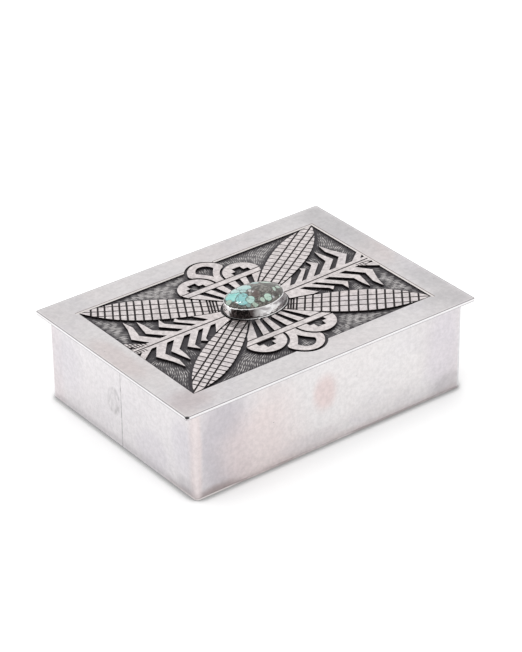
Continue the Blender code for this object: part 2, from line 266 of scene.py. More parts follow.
# A net of shader nodes. A number or colour is set on a socket, and a node's output is
# linked to it
class Net:
    def __init__(self, tree):
        tree.nodes.clear()
        self.tree = tree

    def put(self, socket, value):
        if isinstance(value, bpy.types.NodeSocket):
            self.tree.links.new(value, socket)
        elif isinstance(value, tuple) and len(value) == 3 and socket.type == "RGBA":
            socket.default_value = (*value, 1)
        else:
            socket.default_value = value

    def add(self, kind, sockets=(), **settings):
        made = self.tree.nodes.new("ShaderNode" + kind)
        for name, value in settings.items():
            setattr(made, name, value)
        for key, value in dict(sockets).items():
            self.put(made.inputs[key], value)
        return made

    def place(self):
        return self.add("TexCoord").outputs["Object"]

    def axes(self, where):
        return self.add("SeparateXYZ", {0: where}).outputs

    def math(self, operation, first, second=0.5):
        return self.add("Math", {0: first, 1: second}, operation=operation).outputs[0]

    def plus(self, first, second):
        return self.math("ADD", first, second)

    def minus(self, first, second):
        return self.math("SUBTRACT", first, second)

    def times(self, product, *factors):
        for factor in factors:
            product = self.math("MULTIPLY", product, factor)
        return product

    def vector(self, operation, first, second=(0, 0, 0), scale=1.0):
        sockets = {0: first, 1: second, 3: scale}
        return self.add("VectorMath", sockets, operation=operation).outputs

    def noise(self, where, scale, detail=2.0, roughness=0.5, distortion=0.0):
        sockets = {"Vector": where, "Scale": scale, "Detail": detail, "Roughness": roughness}
        return self.add("TexNoise", {**sockets, "Distortion": distortion}).outputs["Fac"]

    def ramp(self, value, low, high, toLow=0.0, toHigh=1.0):
        sockets = {"Value": value, "From Min": low, "From Max": high, "To Min": toLow, "To Max": toHigh}
        return self.add("MapRange", sockets, interpolation_type="SMOOTHSTEP").outputs[0]

    # A ramp between two places in millimetres
    def rampMm(self, value, low, high, toLow=0.0, toHigh=1.0):
        return self.ramp(value, low * mm, high * mm, toLow, toHigh)

    def blend(self, share, first, second, mode="MIX"):
        sockets = {0: share, 6: first, 7: second}
        return self.add("Mix", sockets, data_type="RGBA", blend_type=mode).outputs[2]

    # Colours laid over one another, each as far as its share says
    def layers(self, colour, *over):
        for share, tone in over:
            colour = self.blend(share, colour, tone)
        return colour

    def colour(self, red, green, blue):
        return self.add("CombineColor", {0: red, 1: green, 2: blue}).outputs[0]

    # The colour multiplied by three numbers
    def toned(self, colour, red, green, blue):
        return self.blend(1.0, colour, self.colour(red, green, blue), "MULTIPLY")

    def mapped(self, where, scale=(1, 1, 1), turn=(0, 0, 0), shift=(0, 0, 0)):
        sockets = {"Vector": where, "Scale": scale, "Rotation": turn, "Location": shift}
        return self.add("Mapping", sockets).outputs[0]

    # One inside an ellipsoid in millimetres and zero outside it, with a soft and uneven edge
    def patch(self, where, middle, reach, soft=0.5, ragged=None):
        offset = self.vector("SUBTRACT", where, tuple(v * mm for v in middle))[0]
        unit = self.vector("MULTIPLY", offset, tuple(1 / (r * mm) for r in reach))[0]
        far = self.vector("LENGTH", unit)["Value"]
        if ragged is not None:
            far = self.plus(far, ragged)
        return self.ramp(far, 1 - soft, 1 + soft, 1.0, 0.0)

    def bump(self, height, strength, distance, normal=None, invert=False):
        sockets = {"Height": height, "Strength": strength, "Distance": distance * mm}
        if normal is not None:
            sockets["Normal"] = normal
        return self.add("Bump", sockets, invert=invert).outputs[0]


def newMaterial(name, metallic=1.0):
    made = bpy.data.materials.new(name)
    made.use_nodes = True
    net = Net(made.node_tree)
    shader = net.add("BsdfPrincipled", {"Metallic": metallic})
    net.add("OutputMaterial", {"Surface": shader.outputs[0]})
    return made, net, shader.inputs


satinSilver = {
    "pale": (0.735, 0.71, 0.715),
    "pink": (0.70, 0.63, 0.625),
    "lilac": (0.665, 0.64, 0.68),
    "grey": (0.61, 0.59, 0.60),
    "scratch": (0.40, 0.385, 0.39),
    "pit": (0.22, 0.21, 0.21),
    "cloudScale": 24,
    "speckScale": 520,
    "roughness": (0.28, 0.42),
    "bump": 0.02,
}
overlaySilver = dict(satinSilver, pale=(0.765, 0.738, 0.742), grey=(0.64, 0.62, 0.63))


# Satin silver: a pale ground with broad pink and lilac clouds, a fine rubbed grain, hair
# scratches and a few pits. Patches are places with a colour of their own
def silverSkin(net, shader, look, patches=()):
    where = net.place()
    scale = look["cloudScale"]
    first = net.noise(where, scale, 3, 0.5, 0.5)
    second = net.noise(net.mapped(where, shift=(0.31, 0.17, 0.05)), scale * 1.5, 4, 0.55, 0.4)
    third = net.noise(net.mapped(where, shift=(0.11, 0.47, 0.25)), scale * 4, 5, 0.68)
    colour = net.layers(
        look["pale"],
        (net.ramp(first, 0.48, 0.72, 0, 0.50), look["pink"]),
        (net.ramp(second, 0.50, 0.74, 0, 0.50), look["lilac"]),
        (net.ramp(third, 0.50, 0.78, 0, 0.62), look["grey"]),
    )
    ragged = net.times(net.minus(second, 0.5), 1.4)
    for middle, reach, tone, strength in patches:
        share = net.times(net.patch(where, middle, reach, 0.45, ragged), strength)
        colour = net.blend(share, colour, tone)
    speck = net.noise(where, look["speckScale"], 4, 0.7)
    tone = net.ramp(speck, 0.30, 0.70, 0.925, 1.06)
    hair = net.noise(net.mapped(where, (26, 1500, 900), (0.3, 0.5, 0.2)), 1.0, 2, 0.5, 0.2)
    pit = net.add("TexVoronoi", {"Vector": where, "Scale": 120.0}).outputs["Distance"]
    colour = net.layers(
        net.toned(colour, tone, tone, tone),
        (net.ramp(hair, 0.70, 0.78, 0, 0.22), look["scratch"]),
        (net.ramp(pit, 0.020, 0.045, 0.5, 0), look["pit"]),
    )
    net.put(shader["Roughness"], net.ramp(third, 0.3, 0.75, *look["roughness"]))
    grain = net.plus(net.times(speck, 0.12), net.noise(where, 60, 2, 0.4))
    net.put(shader["Normal"], net.bump(grain, look["bump"], 1))
    return where, colour


# The wall's tints are those of the one in the photo: lilac and then pink near the front
# left corner and lavender at the right. Painted highlights lie in the middle of the front and
# down its right corner, and painted shade darkens the foot, browner at the front left corner.
# Each has a middle, a reach, a colour and a strength
def makeWallMaterial():
    made, net, shader = newMaterial("wallSatinSilver")
    pink, lilac, grey = (0.77, 0.67, 0.66), (0.535, 0.505, 0.540), (0.50, 0.475, 0.49)
    paintedHighlight, rust, paintedCornerHighlight = (0.82, 0.80, 0.80), (0.40, 0.33, 0.325), (0.74, 0.75, 0.765)
    front, left, deep = -47.85, -65.2, 20
    patches = [
        ((left, 0, 20), (deep, 60, 40), (0.795, 0.77, 0.785), 0.80),
        ((left, 44, 20), (deep, 5, 30), (0.72, 0.66, 0.675), 0.7),
        ((left, 36, 22), (deep, 10, 14), (0.68, 0.655, 0.69), 0.6),
        ((-52, front, 22), (12, deep, 26), lilac, 0.80),
        ((-34, front, 14), (18, deep, 20), pink, 0.60),
        # Painted highlight across the middle of the front
        ((18, front, 22), (34, deep, 18), paintedHighlight, 0.70),
        ((-4, front, 24), (5, deep, 7), (0.73, 0.61, 0.60), 0.85),
        ((56, front, 24), (9, deep, 20), (0.68, 0.645, 0.695), 0.60),
        # Painted shade low on the front: at its right end, along its foot and, browner, at its left corner's
        # foot
        ((59, front, 4), (9, deep, 5), grey, 0.60),
        ((0, front, 0), (75, deep, 3.0), (0.66, 0.585, 0.58), 0.50),
        ((-56, front, 0), (10, deep, 3.8), rust, 0.75),
        ((-64.6, front, 20), (2.2, 4, 30), (0.755, 0.675, 0.67), 0.80),
        ((left, -39, 20), (deep, 6, 12), (0.68, 0.655, 0.70), 0.45),
        # Painted shade low on the left wall, near its front
        ((left, -41, 4), (deep, 5, 3), grey, 0.40),
        ((left, -20, 9), (deep, 9, 7), (0.70, 0.67, 0.715), 0.45),
        # Painted highlight down the front right corner
        ((64.7, front, 20), (1.2, 3, 30), paintedCornerHighlight, 0.85),
        # Painted shade along the left wall's foot and low on the front
        ((left, -8, 0), (deep, 52, 3.4), grey, 0.20),
        ((-10, front, 5), (12, deep, 3.0), (0.66, 0.62, 0.63), 0.55),
    ]
    where, colour = silverSkin(net, shader, satinSilver, patches)
    x, y, z = net.axes(where)
    onLeft = net.math("LESS_THAN", x, (left + 1.5) * mm)
    onFront = net.math("LESS_THAN", y, (front + 1.5) * mm)
    # Painted shade lies unevenly along the foot of the front, and near the corner a painted highlight makes
    # the bottom sheet's edge pale
    footShadeUneven = net.ramp(net.noise(where, 55, 3, 0.6), 0.38, 0.60, 0.08, 0.42)
    footShade = net.times(net.rampMm(z, 0.80, 1.15, 1.0, 0.0), onFront, footShadeUneven)
    corner = net.patch(where, (-56, front, 0), (10, deep, 10))
    sheetEdgeHighlight = net.times(net.rampMm(z, 0.70, 0.80, 0.8, 0.0), corner)
    # The butted seam holds dirt, and an oval rubbed place lies beside it
    dotted = net.ramp(net.noise(where, 420, 3, 0.6), 0.38, 0.62, 0.25, 0.80)
    seam = net.times(net.rampMm(net.math("ABSOLUTE", y), 0.12, 0.30, 1.0, 0.0), dotted, onLeft)
    outer = net.patch(where, (left, 5.0, 18.6), (deep, 4.2, 6.0), 0.16)
    inner = net.patch(where, (left, 5.9, 19.5), (deep, 3.4, 5.0), 0.30)
    rubbedAndHighlight = net.noise(net.mapped(where, (200, 900, 240), (0.5, 0.0, 0.0)), 1.0, 3, 0.6)
    ring = net.minus(outer, net.times(inner, 0.55))
    ring = net.times(ring, net.ramp(rubbedAndHighlight, 0.40, 0.56, 0.15, 1.0), 0.75)
    colour = net.layers(
        colour,
        (footShade, (0.24, 0.19, 0.19)),
        (sheetEdgeHighlight, (0.90, 0.86, 0.85)),
        (seam, (0.30, 0.28, 0.29)),
        (ring, (0.47, 0.455, 0.46)),
    )
    net.put(shader["Base Color"], colour)
    return made


# How far a place on the lid is from its outer edge, going inward
def fromEdge(net, x, y):
    acrossX = net.minus(lidHalf.x, net.math("ABSOLUTE", x))
    acrossY = net.minus(lidHalf.y, net.math("ABSOLUTE", y))
    return net.math("MINIMUM", acrossX, acrossY)


# The frame: satin silver, with a painted highlight in a band just inside its outer edge, the
# edge face bright with a painted reflection and a dull hairline of painted dark reflection along
# the corner over it, a black pit at the near corner, and a black sawn wall inside. The right and
# back sides of the opening are worn round, beyond a dull line
def makeFrameMaterial():
    made, net, shader = newMaterial("frameSilver")
    pink, grey, top = (0.70, 0.61, 0.60), (0.56, 0.545, 0.555), overlayTop / mm
    patches = [
        ((-62, -40, top), (10, 8, 10), (0.60, 0.53, 0.535), 0.65),
        ((-66, 2, top), (5, 14, 10), pink, 0.55),
        ((-60, 42, top), (10, 10, 10), (0.68, 0.66, 0.67), 0.5),
        ((64, 4, top), (7, 12, 10), pink, 0.35),
        ((61, -43, top), (13, 7, 10), (0.60, 0.58, 0.59), 0.75),
        ((30, -45, top), (30, 6, 10), (0.83, 0.80, 0.805), 0.6),
        ((64, 30, top), (8, 20, 10), grey, 0.65),
        ((66, -26, top), (6, 12, 10), grey, 0.55),
        ((50, 46, top), (18, 5, 10), grey, 0.15),
    ]
    where, colour = silverSkin(net, shader, overlaySilver, patches)
    x, y, z = net.axes(where)
    edge = fromEdge(net, x, y)
    depth = net.minus(overlayTop, z)
    # Painted light along the outer edge: a highlight band on the top, a bright reflection on the edge face
    # and a dark reflection as a hairline on the corner
    rubbedAndHighlight = net.times(net.rampMm(edge, 0.35, 0.6), net.rampMm(edge, 0.7, 1.1, 0.38, 0.0))
    face = net.rampMm(edge, 0.05, 0.10, 0.85, 0.0)
    edgeDarkReflection = net.times(net.rampMm(edge, 0.17, 0.34, 1.0, 0.0), net.rampMm(depth, 0.08, 0.20, 0.84, 0.0))
    pit = net.patch(where, (-lidHalf.x / mm, -lidHalf.y / mm, top - 0.3), (1.3, 1.1, 1.1), 0.3)
    far = net.math("MINIMUM", net.minus(lidHalf.x, x), net.minus(lidHalf.y, y))
    within = net.times(net.rampMm(edge, 10.7, 11.0), net.rampMm(far, 12.3, 12.4, 1.0, 0.0))
    line = net.times(net.rampMm(far, 11.14, 11.26), net.rampMm(far, 11.46, 11.60, 0.85, 0.0))
    worn = net.times(net.rampMm(far, 11.50, 11.62), net.rampMm(depth, 0.34, 0.46, 0.8, 0.0))
    inside = net.math("GREATER_THAN", edge, 4 * mm)
    colour = net.layers(
        colour,
        (rubbedAndHighlight, (0.90, 0.885, 0.885)),
        (face, (0.95, 0.94, 0.95)),
        (edgeDarkReflection, (0.20, 0.185, 0.19)),
        (net.times(pit, 0.95), (0.03, 0.028, 0.03)),
        (net.times(line, within), (0.16, 0.11, 0.10)),
        (net.times(worn, within), (0.84, 0.79, 0.765)),
        (net.times(net.rampMm(depth, 0.38, 0.50), inside), (0.058, 0.052, 0.054)),
    )
    net.put(shader["Base Color"], colour)
    # The worn part of the inner wall leans back
    lean = net.times(net.math("MINIMUM", depth, 0.38 * mm), 900.0, inside)
    skin = shader["Normal"].links[0].from_socket
    net.put(shader["Normal"], net.bump(lean, 1.0, 1, skin))
    return made


# The motifs: a warmer and more worn silver, black in the cuts and down the sawn walls,
# told by the depth below the top
def makeMotifMaterial():
    made, net, shader = newMaterial("motifSilver")
    where, colour = silverSkin(net, shader, overlaySilver)
    worn = net.ramp(net.noise(where, 560, 5, 0.75), 0.36, 0.64, 0.82, 1.15)
    colour = net.toned(colour, net.times(worn, 1.04), worn, net.times(worn, 0.985))
    shade = net.rampMm(net.minus(overlayTop, net.axes(where)[2]), 0.050, 0.105)
    net.put(shader["Base Color"], net.blend(shade, colour, (0.062, 0.053, 0.054)))
    return made


# The lower sheet's edge and underside: silver, its edge face bright with a painted reflection
# and a dull line of painted shade along the bottom corner. Its top, under the chased ground, is
# black inside the panel
def makeGroundMaterial():
    made, net, shader = newMaterial("groundOxide")
    where, colour = silverSkin(net, shader, satinSilver)
    x, y, z = net.axes(where)
    edge = fromEdge(net, x, y)
    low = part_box("lid_ground_plate")[0].z
    underEdgeShade = net.ramp(z, low + 0.16 * mm, low + 0.36 * mm, 0.75, 0.0)
    top = net.ramp(z, groundTop - 0.25 * mm, groundTop - 0.10 * mm)
    colour = net.layers(
        colour,
        # Painted reflection on the edge face, and painted shade along its bottom corner
        (net.rampMm(edge, 0.05, 0.12, 0.7, 0.0), (0.90, 0.89, 0.90)),
        (net.times(net.rampMm(edge, 0.2, 0.4, 1.0, 0.0), underEdgeShade), (0.26, 0.24, 0.25)),
        (net.times(top, net.math("GREATER_THAN", edge, 4 * mm)), (0.058, 0.053, 0.057)),
    )
    net.put(shader["Base Color"], colour)
    return made


# Chased ground and strokes: black where the oxide was left, silver where it was rubbed
# off. Each piece's worn value says how far
def makeChasingMaterial():
    made, net, shader = newMaterial("chasedSilver")
    worn = net.add("Attribute", attribute_name="worn").outputs["Fac"]
    soot = net.noise(net.place(), 420, 4, 0.65)
    share = net.times(worn, net.ramp(soot, 0.25, 0.70, 0.45, 1.15))
    net.put(shader["Base Color"], net.blend(share, (0.058, 0.053, 0.059), (0.76, 0.73, 0.72)))
    net.put(shader["Roughness"], net.ramp(soot, 0.3, 0.7, 0.30, 0.46))
    net.put(shader["Normal"], net.bump(soot, 0.25, 0.15))
    return made


# Polished bezel: bright rim and left end, a black band of painted dark reflection on its front
# left, then burnishing streaks painted dark as a broken reflection, a duller stretch at its right
# that is painted reflection too, and painted shade along the ledge's outer edge and in the crease
# at the wall's foot. The angle runs round the oval, zero at +X
def makePolishedMaterial():
    made, net, shader = newMaterial("polishedSilver")
    where = net.place()
    film = net.noise(where, 240, 4, 0.6, 0.5)
    x, y, z = net.axes(where)
    alongX = net.math("DIVIDE", net.plus(x, 0.3 * mm), 13.3 * mm)
    alongY = net.math("DIVIDE", net.minus(y, 0.2 * mm), 9.4 * mm)
    angle = net.plus(net.math("ARCTAN2", alongY, alongX), net.times(net.minus(film, 0.5), 0.6))
    out = net.math("SQRT", net.plus(net.times(alongX, alongX), net.times(alongY, alongY)))
    height = net.minus(z, overlayTop)
    onWall = net.rampMm(height, 0.20, 0.24)
    onLedge = net.minus(1.0, onWall)
    band = net.times(onWall, net.rampMm(height, 3.60, 3.92, 1.0, 0.0))
    # Painted reflections by the angle round the oval: black, streaked and dull stretches
    darkReflection = net.times(net.ramp(angle, -3.06, -2.90), net.ramp(angle, -2.15, -1.75, 0.96, 0.0))
    between = net.times(net.ramp(angle, -2.00, -1.80), net.ramp(angle, -0.95, -0.70, 1.0, 0.0))
    dullReflection = net.times(net.ramp(angle, -1.30, -1.00), net.ramp(angle, -0.5, 0.1, 0.85, 0.0))
    streak = net.noise(net.mapped(where, (0.55, 1.0, 1.7), (0.0, 0.5, 0.5)), 400, 0.5, 0.4, 0.5)
    # Painted shade at the ledge's outer edge and in the crease at the wall's foot
    ledgeEdgeShade = net.times(onLedge, net.ramp(out, 1.050, 1.070, 0.85, 0.0))
    crease = net.times(net.rampMm(height, 0.26, 0.50, 0.6, 0.0), onWall)
    colour = net.layers(
        (0.93, 0.92, 0.92),
        (net.ramp(film, 0.45, 0.80), (0.62, 0.59, 0.57)),
        (net.times(band, dullReflection), (0.16, 0.15, 0.16)),
        (net.times(net.ramp(streak, 0.50, 0.62, 0.0, 0.66), between, band), (0.22, 0.19, 0.20)),
        (net.times(band, darkReflection), (0.034, 0.021, 0.019)),
        (net.times(onLedge, dullReflection, 0.7), (0.30, 0.29, 0.30)),
        (net.math("MAXIMUM", ledgeEdgeShade, crease), (0.04, 0.034, 0.034)),
    )
    net.put(shader["Base Color"], colour)
    net.put(shader["Roughness"], net.ramp(film, 0.3, 0.8, 0.10, 0.24))
    # The burnisher leaned on the wall: it faces a little upwards
    leaning = net.bump(net.times(z, -230.0, onWall), 1.0, 1)
    net.put(shader["Normal"], net.bump(net.noise(where, 380, 2, 0.5), 0.9, 0.8, leaning))
    return made


# The stone's nodules in millimetres: a middle and a reach, in a plan turned so that its
# second axis points from the front left of the box to the back right, and a tint
turquoise = {
    "web": (0.022, 0.018, 0.015),
    "brown": (0.034, 0.028, 0.022),
    "ash": (0.26, 0.245, 0.215),
    "rust": (0.085, 0.045, 0.036),
    "milky": (0.62, 0.86, 0.80),
    "deep": (0.10, 0.38, 0.36),
    "turn": -0.657,
    "crack": 4.4,
    "outline": 3.9,
    "teal": (0.27, 0.69, 0.64),
    "sky": (0.25, 0.58, 0.58),
    "green": (0.42, 0.63, 0.57),
    "moss": (0.42, 0.53, 0.44),
    "mint": (0.48, 0.65, 0.54),
    "pale": (0.45, 0.66, 0.64),
    "dusk": (0.24, 0.36, 0.34),
    "shell": (0.56, 0.53, 0.53),
    "nodules": (
        ((-8.8, -3.4), (3.2, 3.7), "teal"), ((-5.0, -5.9), (2.7, 3.9), "sky"),
        ((-2.0, -6.6), (1.7, 2.2), "green"), ((-10.6, -6.6), (1.5, 1.4), "moss"),
        ((-3.0, -9.4), (1.2, 0.7), "dusk"), ((-0.2, -8.7), (1.1, 0.8), "moss"),
        ((-7.7, 0.3), (2.3, 1.9), "pale"), ((-4.7, 2.6), (3.1, 2.5), "pale"),
        ((-5.0, -0.6), (1.3, 1.2), "pale"), ((-2.6, -0.3), (0.8, 0.8), "shell"),
        ((-1.2, -1.1), (0.5, 0.7), "shell"), ((2.7, -5.8), (0.95, 1.4), "moss"),
        ((4.8, -4.0), (1.55, 2.0), "mint"), ((6.9, -3.0), (0.5, 0.7), "shell"),
        ((7.2, 2.1), (0.65, 1.4), "moss"), ((4.0, 7.6), (2.2, 1.1), "moss"),
        ((-0.4, 6.8), (1.6, 0.9), "pale"), ((8.6, 4.2), (1.0, 1.1), "moss"),
        ((9.6, -1.4), (0.5, 1.2), "moss"),
    ),
}


# Turquoise: brown and ash-grey matrix with turquoise nodules in it, crowded together at
# the left, where only a dark web parts them, and few at the right
def makeStoneMaterial():
    look, endless = turquoise, 1000
    made, net, shader = newMaterial("turquoiseStone", 0.0)
    where = net.place()
    warp = net.add("TexNoise", {"Vector": where, "Scale": 330, "Detail": 4.0, "Roughness": 0.65})
    push = net.vector("SUBTRACT", warp.outputs["Color"], (0.5, 0.5, 0.5))[0]
    bent = net.vector("ADD", where, net.vector("SCALE", push, scale=2.2 * mm)[0])[0]
    turned = net.mapped(bent, (1, 1, 0), (0, 0, -look["turn"]))
    cloud = net.noise(where, 420, 4, 0.65)
    mottle = net.ramp(net.noise(where, 900, 4, 0.7), 0.45, 0.60)
    axes = net.axes(where)
    darker = net.rampMm(net.plus(axes[0], net.times(cloud, 4 * mm)), 4, 11, 1.0, 0.35)
    redder = net.patch(turned, (0, -2.8, 0), (1.5, 2.6, endless), 0.4)
    colour = net.layers(
        look["brown"], (net.times(mottle, darker), look["ash"]), (net.times(redder, 0.8), look["rust"])
    )
    covered = 0.0
    for middle, reach, tint in look["nodules"]:
        share = net.patch(turned, (*middle, 0), (*reach, endless), 0.13)
        outline = net.times(share, net.minus(1.0, share), look["outline"])
        colour = net.layers(colour, (share, look[tint]), (outline, look["web"]))
        covered = net.math("MAXIMUM", share, covered)
    grid = {"Vector": bent, "Scale": 1 / (look["crack"] * mm)}
    edge = net.add("TexVoronoi", grid, feature="DISTANCE_TO_EDGE").outputs["Distance"]
    thick = net.ramp(net.noise(where, 260, 2), 0.35, 0.65, 0.004, 0.030)
    web = net.times(net.ramp(net.math("DIVIDE", edge, thick), 0.5, 1.3, 0.55, 0.0), covered)
    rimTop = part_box("bezel_wall")[1].z
    colour = net.layers(
        colour,
        (net.times(covered, net.ramp(cloud, 0.50, 0.75, 0.0, 0.45)), look["milky"]),
        (net.times(covered, net.ramp(cloud, 0.28, 0.45, 0.40, 0.0)), look["deep"]),
        (web, look["web"]),
        # Painted shadow: the stone darkens along its edge at the bezel's rim
        (net.ramp(axes[2], rimTop - 0.05 * mm, rimTop + 0.22 * mm, 0.9, 0.0), look["web"]),
    )
    net.put(shader["Base Color"], colour)
    net.put(shader["Roughness"], net.ramp(web, 0, 1, 0.12, 0.30))
    net.put(shader["Coat Weight"], 0.4)
    net.put(shader["Coat Roughness"], 0.05)
    net.put(shader["Normal"], net.bump(web, 0.25, 0.05, invert=True))
    return made


# Drawn tube and wire, with fine lines along it
def makeHingeMaterial():
    made, net, shader = newMaterial("drawnSilver")
    where, colour = silverSkin(net, shader, satinSilver)
    drawn = net.noise(net.mapped(where, (60, 5000, 5000)), 1.0, 3, 0.6)
    drawn = net.ramp(drawn, 0.4, 0.8, 0, 0.5)
    net.put(shader["Base Color"], net.blend(drawn, colour, (0.22, 0.20, 0.20)))
    return made


wallMaterial = makeWallMaterial()
frameMaterial = makeFrameMaterial()
motifMaterial = makeMotifMaterial()
groundMaterial = makeGroundMaterial()
chasingMaterial = makeChasingMaterial()
polishedMaterial = makePolishedMaterial()
stoneMaterial = makeStoneMaterial()
hingeMaterial = makeHingeMaterial()
print("materials made")


wall = {
    "sheet": 1.2 * mm,
    "radius": 1.5 * mm,
    "seamGap": 0.06 * mm,
    "edge": 0.15 * mm,
    "dent": 0.05 * mm,
    "pitch": 2.2 * mm,
    "cornerSteps": 14,
    "rows": 15,
    "lip": (0.0, 0.05, 0.15, 0.4),
    "lipDrop": (0.10, 0.045, 0.012, 0.0),
}


# Gentle hand-made swell of the sheet, always inward: a sum of three slow waves of place
def swell(run, height):
    wave = np.sin(run * 71 + height * 40) + np.sin(run * 113 - height * 97 + 2)
    wave = wave + np.sin(height * 160 + run * 29 + 4)
    return -wall["dent"] * (wave / 3 * 0.5 + 0.5)


# The wall is one strip: its section runs up the outside and down the inside, and is
# carried round the box from one side of the seam to the other
def makeWall():
    low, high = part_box("wall_band")
    path, normal = roundedPath(-low.x, -low.y, wall["radius"], wall["pitch"], wall["cornerSteps"])
    onLeft = np.abs(path[:, 0] - low.x) < 0.001 * mm
    keep = ~(onLeft & (np.abs(path[:, 1]) < 0.8 * mm))
    path, normal = path[keep], normal[keep]
    order = np.argsort(np.mod(np.arctan2(-path[:, 1], -path[:, 0]), 2 * math.pi))
    lip, seamY = np.array(wall["lip"]) * mm, wall["seamGap"] / 2
    lipX, left = np.full(len(lip), low.x), np.array([[-1.0, 0.0]]).repeat(len(lip), 0)
    start = np.stack([lipX, -seamY - lip], -1)
    end = np.stack([lipX, seamY + lip[::-1]], -1)
    path, normal = np.vstack([start, path[order], end]), np.vstack([left, normal[order], left])
    edge, sheet = wall["edge"], wall["sheet"]
    profile = [
        (-edge, low.z), (-edge * 0.3, low.z + edge * 0.3),
        *((0, z) for z in np.linspace(low.z + edge, high.z - edge, wall["rows"])),
        (-edge * 0.3, high.z - edge * 0.3), (-edge, high.z), (edge - sheet, high.z),
        (-sheet, high.z - edge), (-sheet, low.z + edge), (edge - sheet, low.z),
    ]
    drop, height = np.array(profile).T
    offset = np.broadcast_to(drop, (len(path), len(drop))).copy()
    run = np.concatenate([[0], np.cumsum(np.linalg.norm(np.diff(path, axis=0), axis=1))])
    outer = slice(0, wall["rows"] + 4)
    inward = swell(run[:, None], height[None, outer])
    offset[:, outer] += inward * np.clip((height[None, outer] - low.z) / (3 * mm), 0, 1)
    lipDrop = np.array(wall["lipDrop"]) * mm
    offset[: len(lip), outer] -= lipDrop[:, None]
    offset[-len(lip) :, outer] -= lipDrop[::-1, None]
    grid = sweep(path, normal, offset, height)
    n, m = offset.shape
    faces = gridFaces(n, m, closeColumns=True)
    faces += [list(range(m))[::-1], list(range((n - 1) * m, n * m))]
    piece = addPiece("wallStrip", "box", grid, faces, wallMaterial, 40, ["wall_band"])
    # The rebate for the hinge tubes, filed in the top of the back wall
    lowest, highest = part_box("body_knuckle_left"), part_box("body_knuckle_right")
    gap, over = 0.08 * mm, 1 * mm
    nearCorner = Vector((lowest[0].x - 0.2 * mm, lowest[0].y - gap, lowest[0].z - gap))
    farCorner = Vector((highest[1].x + 0.2 * mm, high.y + over, high.z + over))
    cube = Matrix.LocRotScale((nearCorner + farCorner) / 2, None, farCorner - nearCorner)
    mesh = bpy.data.meshes.new("rebate")
    with editing(mesh) as work:
        bmesh.ops.create_cube(work, size=1, matrix=cube)
    subtract(piece, mesh)


# A flat plate with rounded edges: rings of a rounded rectangle from the middle of the
# underside out round the edge to the middle of the top
def makePlate(name, node, edge, radius, body, material):
    low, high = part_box(node)
    path, normal = roundedPath(high.x, high.y, radius, 3 * mm, 8)
    turn = np.radians([0, 22.5, 45, 67.5, 90])
    early, late = edge * (1 - np.sin(turn)), edge * (1 - np.cos(turn))
    drop = np.concatenate([-early, -late])
    height = np.concatenate([low.z + late, high.z - early])
    grid = sweep(path, normal, np.broadcast_to(drop, (len(path), len(drop))), height)
    addPiece(name, body, grid, ringFaces(grid), material, 50, [node])


makeWall()
makePlate("bottomSheet", "bottom_plate", 0.22 * mm, 1.5 * mm, "box", wallMaterial)
makePlate("lidGround", "lid_ground_plate", 0.12 * mm, 0.6 * mm, "lid", groundMaterial)
print("box body made")


hinge = {"endRound": 0.12 * mm, "bore": 0.55 * mm, "sides": 40}


# Hinge tubes and pin, turned finer than their solids: a profile of radius and place
# along X, carried round the hinge's axis
def makeTurned(name, node, body, bore):
    low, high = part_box(node)
    radius = (high.z - low.z) / 2
    middleY, middleZ = (low.y + high.y) / 2, (low.z + high.z) / 2
    soft = hinge["endRound"]
    startX, endX = low.x, high.x
    outside = [
        (radius - soft, startX), (radius, startX + soft), (radius, endX - soft), (radius - soft, endX),
    ]
    if bore:
        mouth = bore + soft / 2
        inside = [(mouth, endX), (bore, endX - soft / 2), (bore, startX + soft / 2)]
        profile = [(mouth, startX), *outside, *inside]
    else:
        profile = [(0, startX), *outside, (0, endX)]
    radii, along = np.array(profile).T[:, None]
    angle = np.linspace(0, 2 * math.pi, hinge["sides"], endpoint=False)[:, None]
    y, z = middleY + radii * np.cos(angle), middleZ + radii * np.sin(angle)
    grid = np.stack([along + 0 * angle, y, z], -1)
    faces = gridFaces(hinge["sides"], len(profile), closeRows=True, closeColumns=bool(bore))
    addPiece(name, body, grid, faces, hingeMaterial, 30, [node])


for side in ("left", "middle", "right"):
    makeTurned("boxTube_" + side, "body_knuckle_" + side, "box", hinge["bore"])
for side in ("left", "right"):
    makeTurned("lidTube_" + side, "lid_knuckle_" + side, "lid", hinge["bore"])
makeTurned("hingePin", "hinge_pin", "box", 0)
print("hinge made")


